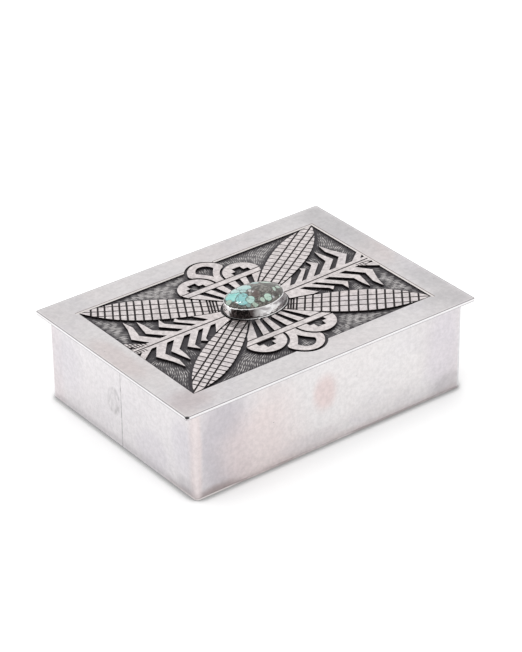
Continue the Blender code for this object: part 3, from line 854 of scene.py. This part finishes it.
# Maize ears. Distances run from the tip in the panel's corner (along) and from the
# ear's middle line (rows), in millimetres. A bold line cuts deep and a faint one
# scratches. slant tilts the cross lines from the first to the last
ears = {
    "rim": 0.16, "rimDrop": 0.13, "boldWidth": 0.80, "boldDepth": 0.40, "faintWidth": 0.68,
    "notch": 0.25, "notchWidth": 0.32, "pillow": 0.03, "bow": 0.10, "tipInset": 0.5,
    "seat": (14.8, 10.9), "seatMiddle": (-0.3, 0.2),
    "backLeft": {
        "node": "ear_back_left", "side": (-1, 1), "root": (0.125, 0.126), "area": 0.2113,
        "cross": (
            4.3, 7.0, 9.7, 12.8, 15.5, 18.4, 21.3, 24.6, 27.7, 31.0,
            34.6, 38.0, 41.1, 44.2, 47.4, 50.0, 51.2, 52.3, 53.6,
        ),
        "slant": (0.02, -0.09), "rows": (-3.2, 0.5, 4.0), "boldCross": True, "faintDepth": 0.41,
    },
    "backRight": {
        "node": "ear_back_right", "side": (1, 1), "root": (0.119, 0.140), "area": 0.2003,
        "cross": (
            4.0, 6.9, 9.9, 13.0, 16.1, 19.2, 22.2, 25.3, 28.4, 31.5, 34.6, 37.7, 40.8, 43.9, 47.0, 50.0,
        ),
        "slant": (-0.10, 0.02), "rows": (-3.3, 0.2, 3.6), "boldCross": False, "faintDepth": 0.17,
    },
    "frontRight": {
        "node": "ear_front_right", "side": (1, -1), "root": (0.116, 0.147), "area": 0.2236,
        "cross": (
            4.7, 8.2, 11.2, 14.5, 17.9, 21.3, 24.8, 28.5, 32.3,
            36.0, 39.5, 43.0, 46.5, 49.5, 52.7, 54.0, 55.0, 56.0,
        ),
        "slant": (0.10, 0.14), "rows": (-3.8, -0.1, 3.5), "boldCross": True, "faintDepth": 0.41,
    },
    "frontLeft": {
        "node": "ear_front_left", "side": (-1, -1), "root": (0.141, 0.089), "area": 0.1921,
        "cross": (
            5.5, 8.3, 11.0, 13.5, 16.3, 19.0, 21.9, 25.0, 28.0, 31.0,
            34.0, 37.0, 40.5, 43.5, 47.0, 50.0, 51.0, 52.0, 53.0,
        ),
        "slant": (0.16, 0.04), "rows": (-2.7, 0.4, 3.4), "boldCross": False, "faintDepth": 0.34,
    },
}


# How deep a graver's line is at a distance from its middle: a V with a rounded floor
def vCut(distance, width, depth):
    return depth * np.clip(1.25 * (1 - np.abs(distance) / (width / 2)), 0, 1)


# Where an ear lies: its tip, the ways along and across it, its length and half its width
def earFrame(ear):
    corner = np.array(ear["side"]) * np.array([panel["halfLength"], panel["halfWidth"]]) / mm
    root = corner * np.array(ear["root"])
    along = (root - corner) / np.linalg.norm(root - corner)
    tip = corner + along * ears["tipInset"]
    length = np.linalg.norm(root - tip)
    half = ear["area"] * panel["halfLength"] * panel["halfWidth"] / mm**2 / length
    return tip, along, np.array([-along[1], along[0]]), length, half


# Stations gather round each line, so that a cut has steep walls and the kernels
# between the cuts need few faces
def gathered(lines, low, high, width):
    share = np.array([-0.5, -0.32, -0.10, 0.10, 0.32, 0.5])
    near = (np.array(lines)[:, None] + share * width).ravel()
    spans = zip([low, *lines], [*lines, high])
    between = np.concatenate([np.linspace(a, b, 5)[1:-1] for a, b in spans])
    every = np.sort(np.concatenate([[low, high], near, between]))
    every = every[(every >= low) & (every <= high)]
    return every[np.concatenate([[True], np.diff(every) > 0.03])]


def makeEar(name, ear):
    tip, along, across, length, half = earFrame(ear)
    cross, rows = np.array(ear["cross"]), np.array(ear["rows"])
    station = gathered(cross, 0.0, length, ears["boldWidth"])
    station = np.concatenate([np.linspace(0, 1, 8) ** 2 * station[1], station[2:]])
    inner = gathered(rows, -half, half, ears["boldWidth"])
    widest, innerRun = 0.45 * length, 0.647 * length
    reach = np.where(
        station < widest,
        half * (1 - (np.abs(widest - station) / widest) ** 2.2),
        half * (1 - ((station - widest) / innerRun) ** 2),
    )[:, None]
    # Where a cross line runs out over the edge it leaves a notch
    nearest = np.abs(station[:, None] - cross).min(1)[:, None] / ears["notchWidth"]
    reach = reach - ears["notch"] * np.exp(-(nearest**2)) * np.clip(reach / 1.5, 0, 1)
    rim = ears["rim"] * np.clip(reach, 0, 1)
    share = np.array([1.0, 0.55, 0.2, 0.0])
    clipped = np.clip(inner[None], -(reach - rim * 1.3), reach - rim * 1.3)
    y = np.hstack([-(reach - rim * share[::-1]), clipped, reach - rim * share])
    edges = np.tile(np.array([1.0, 0.40, 0.07, 0.0]) * ears["rimDrop"], (len(station), 1))
    fall = np.hstack([edges, 0 * clipped, edges[:, ::-1]])
    station = station[:, None]
    slant = np.interp(station, [0, length], ear["slant"])
    bow = ears["bow"] * np.sin(station * 1.7) * (y / half) ** 2
    s = station + slant * y + bow
    s = s - s[0:1] * np.clip(1 - station / 4, 0, 1)
    # The ear ends at the stone's seat, an oval round the middle of the lid
    size = np.array(ears["seat"])
    start = (tip + across * y[..., None] - np.array(ears["seatMiddle"])) / size
    way = along / size
    a, b, c = (way**2).sum(), 2 * (start * way).sum(-1), (start**2).sum(-1) - 1
    inside = b**2 - 4 * a * c
    hit = np.where(inside > 0, (-b - np.sqrt(np.abs(inside))) / (2 * a), 1e3)
    s = np.minimum(s, hit)
    flat = s - slant * y - bow
    gap = np.abs(flat[..., None] - cross)
    row = np.abs(y[..., None] - rows)
    # The faint strokes stop at the bold ones and vary in depth, as light hammer blows do
    bold, faint = (gap, row) if ear["boldCross"] else (row, gap)
    unevenly = 0.78 + 0.32 * np.sin(flat * 2.1 + y * 1.3) * np.sin(flat * 0.9 - y * 2.7 + 1)
    dash = np.clip((bold.min(-1) - 0.28) / 0.15, 0, 1) * unevenly
    cut = vCut(bold, ears["boldWidth"], ears["boldDepth"]).max(-1)
    cut = np.maximum(cut, vCut(faint, ears["faintWidth"], ear["faintDepth"]).max(-1) * dash)
    pillow = ears["pillow"] * np.clip(gap.min(-1) / 1.6, 0, 1) * np.clip(row.min(-1) / 1.6, 0, 1)
    z = overlayTop - mm * (np.maximum(cut, fall) + ears["pillow"] - pillow)
    plan = (tip + along * s[..., None] + across * y[..., None]) * mm
    points, faces = slab(np.concatenate([plan, z[..., None]], -1), overlayFoot)
    addPiece(name, "lid", points, faces, motifMaterial, 24, [ear["node"]])


for key in ("backLeft", "backRight", "frontRight", "frontLeft"):
    makeEar("maizeEar_" + key, ears[key])
print("maize ears made")


clouds = {
    "rim": 0.10 * mm, "line": (0.68 * mm, 0.38 * mm), "wander": 0.05 * mm,
    "places": (20.4 * mm, 23.5 * mm),
}
plants = {
    "rim": 0.10 * mm, "line": (0.78 * mm, 0.42 * mm), "wander": 0.04 * mm,
    "hatch": (0.58 * mm, 0.34 * mm), "taper": (0.5 * mm, 0.5 * mm),
    "along": ((1.4, 51.5), (2.9, 52.6), (4.5, 54.4), (-1.4, 53.6)),
}


# A piece sawn from the upper sheet: its node's own shape, with the top edges rounded
def makeSawn(name, node, rim, material, smooth):
    return finishPiece(name, nodeCopy(node, rim), "lid", material, smooth, [node])


def makeCloud(name, node, sign):
    piece = makeSawn(name, node, clouds["rim"], motifMaterial, 30)
    low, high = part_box(node)
    cuts = []
    for y in clouds["places"]:
        start, end = (low.x - mm, sign * y), (high.x + mm, sign * y)
        cuts.append(graverCut(start, end, *clouds["line"], wander=clouds["wander"]))
    engrave(piece, [cuts])


# A plant's stalk has one deep line from the frame to the stone. Fine crossed cuts cover
# the foot of the stalk and one of its prop roots, on the side that rootWay tells. Their
# places are in millimetres: from the middle of the lid, and from the stalk's line
def makePlant(name, node, side, start, end, rootWay, acrossCount, alongCount, bothSides):
    piece = makeSawn(name, node, plants["rim"], motifMaterial, 30)
    stalk = graverCut(start, end, *plants["line"], wander=plants["wander"])

    def fine(x, level, endX, endLevel):
        first = (side * x * mm, start[1] + rootWay * level * mm)
        last = (side * endX * mm, start[1] + rootWay * endLevel * mm)
        return graverCut(first, last, *plants["hatch"], plants["taper"])

    across = []
    for k in range(acrossCount):
        x = 51.0 + 1.3 * k
        across.append(fine(x, 0.5, x + 0.5, 3.4 + 1.15 * k))
        if bothSides and k > 1:
            across.append(fine(x, -0.5, x - 0.3, -2.7))
    along = [fine(x, level, 58.2, level + 0.5) for level, x in plants["along"][:alongCount]]
    engrave(piece, [[stalk], across, along])


makeSawn("lidRim", "lid_frame", 0.12 * mm, frameMaterial, 6)
makeCloud("rainCloud_back", "cloud_back", 1)
makeCloud("rainCloud_front", "cloud_front", -1)
lineStart, lineEnd = (-58.2 * mm, 0.4 * mm), (-13 * mm, 0.4 * mm)
makePlant("maizePlant_left", "plant_left", -1, lineStart, lineEnd, 1, 6, 4, True)
lineStart, lineEnd = (58.2 * mm, 1.5 * mm), (13 * mm, 0.8 * mm)
makePlant("maizePlant_right", "plant_right", 1, lineStart, lineEnd, -1, 3, 2, False)
print("frame, clouds and plants made")


chasing = {
    "rings": (8, 62), "rowPitch": 2.8, "pitch": 0.86, "fans": ((-38, 2), (38, 2), (0, 10), (0, -10)),
    "length": 3.4, "width": 0.42, "height": 0.13, "clear": 0.55, "lift": 0.03, "cell": 0.9,
}


# The outlines of all overlay pieces as straight bits of plan, in millimetres: the edges
# between a piece's flat foot and its walls
def overlayOutlines():
    bits = []
    for piece in bpy.context.scene.objects:
        if piece.type == "MESH" and piece.name.startswith(("lidRim", "maize", "rainCloud")):
            work = bmesh.new()
            work.from_mesh(piece.data)
            for edge in work.edges:
                onFoot = max(abs(v.co.z - overlayFoot) for v in edge.verts) < 0.01 * mm
                down = [face.normal.z < -0.9 for face in edge.link_faces]
                if onFoot and any(down) and not all(down):
                    bits.append([v.co.xy[:] for v in edge.verts])
            work.free()
    return np.array(bits) / mm


# Covered places: a line from the place towards +X crosses the outlines an odd number of
# times
def isCovered(places, bits):
    a, b = bits[:, 0], bits[:, 1]
    y = places[:, 1:2]
    spans = (a[:, 1] > y) != (b[:, 1] > y)
    rise = np.where(a[:, 1] == b[:, 1], 1, b[:, 1] - a[:, 1])
    crossing = a[:, 0] + (y - a[:, 1]) * (b[:, 0] - a[:, 0]) / rise
    return (spans & (crossing > places[:, 0:1])).sum(1) % 2 == 1


# How far each place is from the nearest outline: the distance to the foot of the
# perpendicular on each bit, kept within the bit
def clearance(places, bits):
    a, way = bits[:, 0], bits[:, 1] - bits[:, 0]
    far = []
    for part in np.array_split(places, max(1, len(places) // 400)):
        offset = part[:, None] - a
        share = np.clip((offset * way).sum(-1) / np.maximum((way**2).sum(-1), 1e-9), 0, 1)
        far.append(np.linalg.norm(offset - share[..., None] * way, axis=-1).min(1))
    return np.concatenate(far)


def setWorn(piece, values):
    layer = piece.data.attributes.new("worn", "FLOAT", "POINT")
    layer.data.foreach_set("value", values.astype(np.float32))


# Chased ground: a gently hammered sheet inside the panel, rubbed paler in the middle of
# its fields and left black along the motifs
def makeChasedGround(bits):
    halfX, halfY = panel["halfLength"] / mm - 0.1, panel["halfWidth"] / mm - 0.1
    x = np.linspace(-halfX, halfX, int(2 * halfX / chasing["cell"]) + 1)
    y = np.linspace(-halfY, halfY, int(2 * halfY / chasing["cell"]) + 1)
    x, y = np.meshgrid(x, y, indexing="ij")
    dent = np.sin(x * 2.1 + np.sin(y * 1.7)) * np.sin(y * 2.3 + 1)
    z = groundTop / mm + chasing["lift"] * (0.55 + 0.3 * dent)
    points, faces = slab(np.stack([x, y, z], -1) * mm, groundTop - 0.1 * mm)
    piece = addPiece("chasedGround", "lid", points, faces, chasingMaterial, 60)
    spots = np.array([v.co.xy[:] for v in piece.data.vertices]) / mm
    middle = np.clip((clearance(spots, bits) - 0.8) / 2.6, 0, 1)
    # Towards the back the ground is paler still: a painted highlight over the wear
    setWorn(piece, (0.175 + 0.06 * spots[:, 1] / halfY) * middle**1.2)


# Chasing strokes: rows of short ridges on arcs round each fan's middle. A stroke is a
# low lozenge, pointing away from that middle, with six points
def makeStrokes(bits):
    rows = []
    for number, fan in enumerate(chasing["fans"]):
        for ring in np.arange(*chasing["rings"], chasing["rowPitch"]):
            angle = np.arange(0, 2 * math.pi, chasing["pitch"] / ring) + random.uniform(0, 1)
            jitter = random.normal(0, 1, (3, len(angle)))
            reach = ring + 0.30 * jitter[0]
            spot = np.array(fan) + np.stack([reach * np.cos(angle), reach * np.sin(angle)], -1)
            turn = angle + 0.09 * jitter[1] + 0.25 * np.sin(spot[:, 0] * 0.21 + spot[:, 1] * 0.33)
            rows.append(np.column_stack([spot, turn, jitter[2], np.full(len(angle), number)]))
    every = np.vstack(rows)
    # Each place belongs to its nearest fan: the end ones beyond the ears, the others between
    x, y = np.abs(every[:, 0]) / (panel["halfLength"] / mm), np.abs(every[:, 1]) / (panel["halfWidth"] / mm)
    side = np.where(x > y, np.where(every[:, 0] < 0, 0, 1), np.where(every[:, 1] > 0, 2, 3))
    every = every[(side == every[:, 4]) & (x < 0.995) & (y < 0.995)]
    room = clearance(every[:, :2], bits)
    keep = (room > chasing["clear"]) & ~isCovered(every[:, :2], bits)
    spot, turn, size, room = every[keep, :2], every[keep, 2], every[keep, 3], room[keep]
    half = np.minimum(chasing["length"] / 2 * (1 + 0.2 * size), room + 0.5)[:, None]
    way = np.stack([np.cos(turn), np.sin(turn)], -1)
    across = np.stack([-way[:, 1], way[:, 0]], -1) * chasing["width"] / 2
    low = groundTop / mm
    high = low + chasing["height"]
    plan = [
        spot - way * half, spot + across, spot + way * half, spot - across,
        spot - way * half * 0.5, spot + way * half * 0.5,
    ]
    tall = [low, low, low, low, high, high]
    points = np.stack([np.column_stack([p, np.full(len(spot), z)]) for p, z in zip(plan, tall)], 1)
    sides = [[0, 4, 1], [1, 4, 5], [1, 5, 2], [2, 5, 3], [3, 5, 4], [3, 4, 0]]
    shape = np.array([*sides, [0, 1, 3], [1, 2, 3]])
    faces = (np.arange(len(spot))[:, None, None] * 6 + shape).reshape(-1, 3)
    mesh = bpy.data.meshes.new("chasingStrokes")
    mesh.from_pydata(points.reshape(-1, 3) * mm, [], faces)
    mesh.materials.append(chasingMaterial)
    piece = addObject("chasingStrokes", mesh)
    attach(piece, "lid")
    worn = np.clip((room - 0.8) / 2.0, 0, 1) * np.clip(1.05 + 0.20 * size, 0.45, 1.4)
    setWorn(piece, np.repeat(worn, 6))
    print(len(spot), "chasing strokes")


outlines = overlayOutlines()
makeChasedGround(outlines)
makeStrokes(outlines)
print("chased ground made")


# The lean moves the bezel's rim a little towards the back left, as on the hand-made one
stone = {
    "middle": (-0.3, 0.2), "bezel": (13.3, 9.4), "sheet": 0.45, "sides": 200, "lean": (-0.42, 0.22),
    "ledge": 0.82, "ledgeInner": -9.35, "ledgeShift": 0.28, "play": 0.62,
}


# Ledge plate and bezel wall are each a section carried round the oval. A section is a
# list of growth beyond the bezel's oval, height, share of the hand-made wobble and share
# of the lean
def ovalRings(rows, shift=0.0):
    angle = np.linspace(0, 2 * math.pi, stone["sides"], endpoint=False)[:, None]
    grow, height, share, lean = np.array(rows).T[:, None]
    wobble = 0.035 * np.sin(5 * angle + 1) + 0.03 * np.sin(9 * angle + 2) + 0.02 * np.sin(14 * angle)
    grow = grow + wobble * share
    height = height + 0.6 * wobble * share
    (middleX, middleY), (leanX, leanY), (bezelX, bezelY) = stone["middle"], stone["lean"], stone["bezel"]
    x = middleX + shift + leanX * lean + (bezelX + grow) * np.cos(angle)
    y = middleY + leanY * lean + (bezelY + grow) * np.sin(angle)
    return np.stack([x * mm, y * mm, height * mm], -1)


def makeLedge():
    low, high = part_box("bezel_base")
    foot, top = low.z / mm, high.z / mm
    out, inner = stone["ledge"], stone["ledgeInner"]
    rows = [
        (inner, foot, 0, 0), (out, foot, 0, 0), (out, top - 0.2, 0.2, 0),
        (out - 0.06, top - 0.07, 0.3, 0), (out - 0.2, top, 0.3, 0), (inner, top, 0, 0),
    ]
    grid = ovalRings(rows, stone["ledgeShift"])
    faces = ringFaces(grid)
    addPiece("bezelLedge", "lid", grid, faces, polishedMaterial, 50, ["bezel_base"])


def makeBezel():
    low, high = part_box("bezel_wall")
    foot, top = low.z / mm, high.z / mm
    sheet = stone["sheet"]
    rows = [
        (0.30, foot, 0.1, 0), (0.31, foot + 0.2, 0.3, 0), (0.28, foot + 0.9, 0.7, 0.3),
        (0.20, foot + 1.6, 1.0, 0.5), (0.07, foot + 2.2, 1.0, 0.7), (-0.09, foot + 2.8, 1.0, 0.85),
        (-0.22, top - 0.50, 0.8, 0.95), (-0.27, top - 0.25, 0.6, 1), (-0.31, top - 0.08, 0.5, 1),
        (-0.40, top, 0.5, 1), (-0.52, top - 0.03, 0.5, 1), (-0.58, top - 0.16, 0.4, 1),
        (-0.60, top - 0.6, 0.2, 1), (-sheet - 0.2, top - 1.2, 0, 0.8), (0.30 - sheet, foot, 0, 0),
    ]
    grid = ovalRings(rows)
    faces = gridFaces(*grid.shape[:2], closeRows=True, closeColumns=True)
    addPiece("bezelBand", "lid", grid, faces, polishedMaterial, 60, ["bezel_wall"])


# The stone is a low dome with a few lumps, and it leans with the bezel that holds it
def makeStone():
    foot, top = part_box("turquoise_stone")[0].z / mm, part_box("turquoise_stone")[1].z / mm
    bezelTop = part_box("bezel_wall")[1].z / mm
    rise = top - bezelTop
    turn = np.radians(np.linspace(0, 90, 26))
    angle = np.linspace(0, 2 * math.pi, stone["sides"], endpoint=False)[:, None]
    shrink = np.concatenate([[0.97, 0.985], np.cos(turn) ** 0.82])
    height = np.concatenate([[foot, foot + 1.5], bezelTop - 0.35 + (rise + 0.35) * np.sin(turn)])
    lean = np.concatenate([[0, 0.3], np.ones(len(turn))])
    x = (stone["bezel"][0] - stone["play"]) * shrink * np.cos(angle)
    y = (stone["bezel"][1] - stone["play"]) * shrink * np.sin(angle)
    z = height + 0 * angle
    lump = 0.10 * np.sin(x * 0.45 + 1) * np.cos(y * 0.5) - 0.10
    z = z + np.where(z > bezelTop, lump * (z - bezelTop) / rise, 0)
    x = x + stone["middle"][0] + stone["lean"][0] * lean
    y = y + stone["middle"][1] + stone["lean"][1] * lean
    grid = np.stack([x, y, z], -1) * mm
    faces = ringFaces(grid)
    addPiece("turquoise", "lid", grid, faces, stoneMaterial, 50, ["turquoise_stone"])


makeLedge()
makeBezel()
makeStone()
print("stone and bezel made")


# Floor, light and camera

studio = {
    "sky": 0.90, "darkWay": (-0.80, -0.58, 0.05), "darkLow": 0.10, "floor": (0.86, 0.86, 0.86),
    "glow": 0.36, "mirroredGlow": 0.32, "contact": 0.38, "tight": 4.4 * mm, "wide": 20 * mm,
    "glint": {"place": (0.160, 0.573, 1.084), "target": (0, 0, 0.045), "size": 0.16, "power": 1.1},
    "key": {"place": (-0.60, 0.45, 1.60), "target": (0, 0, 0.02), "size": 3.0, "power": 6.2},
}


def makeFloor():
    mesh = bpy.data.meshes.new("floor")
    mesh.from_pydata([(-3, -3, 0), (3, -3, 0), (3, 3, 0), (-3, 3, 0)], [], [(0, 1, 2, 3)])
    floor = addObject("floor", mesh)
    floor.location.z = -0.02 * mm
    made = bpy.data.materials.new("paleFloor")
    made.use_nodes = True
    net = Net(made.node_tree)
    # Where the box closes off the sky nearby, the floor lies darker: a tight shadow along
    # its foot, and a wider and fainter one, which is fainter still beyond the left end
    tight = net.add("AmbientOcclusion", {"Distance": studio["tight"]}, samples=12).outputs["AO"]
    wide = net.add("AmbientOcclusion", {"Distance": studio["wide"]}, samples=12).outputs["AO"]
    ray = net.add("LightPath")
    mirrored = ray.outputs["Is Glossy Ray"]
    tightLow = net.ramp(mirrored, 0.0, 1.0, studio["contact"], 0.85)
    wideLow = net.ramp(mirrored, 0.0, 1.0, net.rampMm(net.axes(net.place())[0], -72, -64, 0.965, 0.88), 0.92)
    shade = net.times(net.ramp(tight, 0.47, 0.92, tightLow, 1.0), net.ramp(wide, 0.50, 0.98, wideLow, 1.0))
    glowing = net.times(shade, net.ramp(mirrored, 0.0, 1.0, studio["glow"], studio["mirroredGlow"]))
    matte = net.add("BsdfDiffuse", {"Color": net.blend(shade, (0, 0, 0), studio["floor"])}).outputs[0]
    glow = net.add("Emission", {"Color": (1.0, 1.0, 1.0), "Strength": glowing}).outputs[0]
    both = net.add("AddShader", {0: matte, 1: glow}).outputs[0]
    seen = net.math("MAXIMUM", ray.outputs["Is Camera Ray"], mirrored)
    pick = net.add("MixShader", {0: seen, 1: matte, 2: both}).outputs[0]
    net.add("OutputMaterial", {"Surface": pick})
    mesh.materials.append(made)


# A plain white room, with one dark patch low on the left that the polished bezel shows
def makeWorld():
    world = bpy.data.worlds.new("studio")
    bpy.context.scene.world = world
    world.use_nodes = True
    net = Net(world.node_tree)
    way = net.add("TexCoord").outputs["Generated"]
    facing = net.vector("DOT_PRODUCT", way, Vector(studio["darkWay"]).normalized())["Value"]
    tone = net.times(net.ramp(facing, 0.80, 0.93, 1.0, studio["darkLow"]), studio["sky"])
    room = net.add("Background", {"Color": net.colour(tone, tone, tone), "Strength": 1.0}).outputs[0]
    white = net.add("Background", {"Color": (1.0, 1.0, 1.0), "Strength": 1.0}).outputs[0]
    seen = net.add("LightPath").outputs["Is Camera Ray"]
    pick = net.add("MixShader", {0: seen, 1: room, 2: white}).outputs[0]
    net.add("OutputWorld", {"Surface": pick})


def makeLamp(name, look):
    data = bpy.data.lights.new(name, "AREA")
    data.size = look["size"]
    data.energy = look["power"]
    lamp = addObject(name, data)
    lamp.location = look["place"]
    way = Vector(look["target"]) - Vector(look["place"])
    lamp.rotation_euler = way.to_track_quat("-Z", "Y").to_euler()
    return lamp


camera = {
    "place": (-0.530264, -0.699177, 0.546668),
    "right": (0.791526, -0.611033, -0.010868),
    "up": (0.317514, 0.395986, 0.861611),
    "back": (-0.522173, -0.685447, 0.507442),
    "lens": 143.364,
    "sensor": 36,
}


def makeCamera():
    data = bpy.data.cameras.new("camera")
    data.lens = camera["lens"]
    data.sensor_width = camera["sensor"]
    data.sensor_height = camera["sensor"]
    data.sensor_fit = "VERTICAL"
    made = addObject("camera", data)
    turn = Matrix((camera["right"], camera["up"], camera["back"])).transposed().to_4x4()
    made.matrix_world = Matrix.Translation(camera["place"]) @ turn
    bpy.context.scene.camera = made


makeFloor()
makeWorld()
# One small lamp lights only the stone and the bezel
glint = makeLamp("stoneGlint", studio["glint"])
polished = bpy.data.collections.new("polishedPieces")
for name in ("turquoise", "bezelBand"):
    polished.objects.link(bpy.data.objects[name])
glint.light_linking.receiver_collection = polished
makeLamp("softKey", studio["key"])
makeCamera()
bpy.context.scene.view_settings.view_transform = "Standard"
print("stage made")
